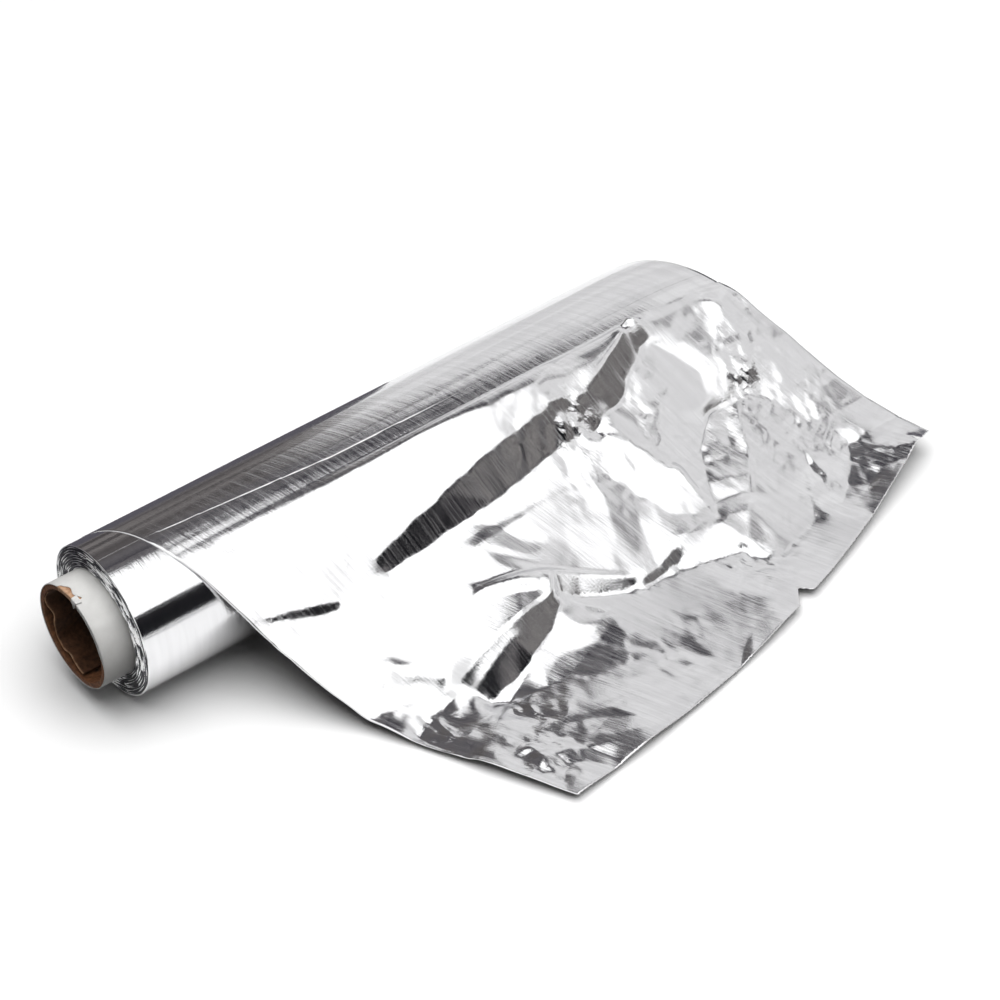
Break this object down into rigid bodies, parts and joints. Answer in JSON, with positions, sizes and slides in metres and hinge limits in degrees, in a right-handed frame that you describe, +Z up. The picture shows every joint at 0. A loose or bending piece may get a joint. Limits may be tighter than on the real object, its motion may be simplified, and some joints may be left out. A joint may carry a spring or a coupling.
{
  "type": "aluminium foil roll",
  "caption": "Roll of kitchen foil on a cardboard core, lying on its side with its crumpled loose end pulled off over the floor to a torn edge.",
  "frame": {"origin": "on the floor under the middle of the roll, in the small flat that the roll lies on", "axes": "+X along the roll's axis towards its far end, +Z up; the loose end drapes towards -Y"},
  "size_m": [0.4162, 0.2275, 0.0751],
  "materials": {
    "core_board": "matte",
    "white_paper": "matte",
    "core_ply": "matte",
    "foil": "bright rolled"
  },
  "bodies": {
    "root": {"core_tube": "core_board", "core_white_wrap": "white_paper", "core_inner_ply": "core_ply", "foil": "foil"}
  },
  "joints": []
}
